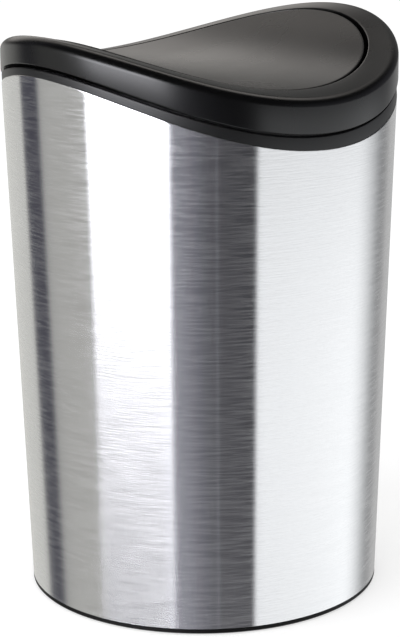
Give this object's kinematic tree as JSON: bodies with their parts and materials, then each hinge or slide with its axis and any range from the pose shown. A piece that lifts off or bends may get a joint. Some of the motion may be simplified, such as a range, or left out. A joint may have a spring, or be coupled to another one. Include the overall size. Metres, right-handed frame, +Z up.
{
  "type": "countertop swing-lid trash can",
  "caption": "Tapered brushed steel countertop can with a wave-cut rim, a lift-off black lid with a self-righting swing flap, and a lift-out inner bucket.",
  "frame": {"origin": "middle of the can at the surface it stands on", "axes": "+Z up; X from one high end of the rim to the other, across the swing; Y along the flap's pivot"},
  "size_m": [0.1257, 0.1256, 0.1845],
  "materials": {
    "brushed_steel": "stainless sheet, brushed round the can",
    "lid_black": "satin moulded plastic",
    "trim_black": "fine matt moulded plastic",
    "rubber_black": "matt rubber",
    "bucket_grey": "moulded plastic, smooth inside",
    "zinc_steel": "cut steel bar, zinc plated",
    "foam_black": "foam pad",
    "pin_steel": "bright steel"
  },
  "bodies": {
    "can": {"steel_shell": "brushed_steel", "rim_collar": "trim_black", "base_plate": "trim_black", "non_skid_ring": "rubber_black"},
    "bucket": {"inner_bucket": "bucket_grey"},
    "lid": {"lid_frame": "lid_black", "lid_underframe": "trim_black"},
    "flap": {"swing_flap": "lid_black", "flap_liner": "trim_black", "counterweight": "zinc_steel", "counterweight_pad": "foam_black", "pivot_pin_front": "pin_steel", "pivot_pin_back": "pin_steel", "liner_screws": "pin_steel"}
  },
  "joints": [
    {"name": "lid_lift", "type": "slide", "parent": "can", "child": "lid", "axis": [0, 0, 1], "range_m": [0, 0.24]},
    {"name": "bucket_lift", "type": "slide", "parent": "can", "child": "bucket", "axis": [0, 0, 1], "range_m": [0, 0.18]},
    {"name": "flap_swing", "type": "hinge", "parent": "lid", "child": "flap", "pos_m": [0, 0, 0.1631], "axis": [0, 1, 0], "range_deg": [-70, 70]}
  ],
  "couplings": [
    {"joint": "bucket_lift", "follows": "lid_lift", "ratio": 0.75}
  ]
}
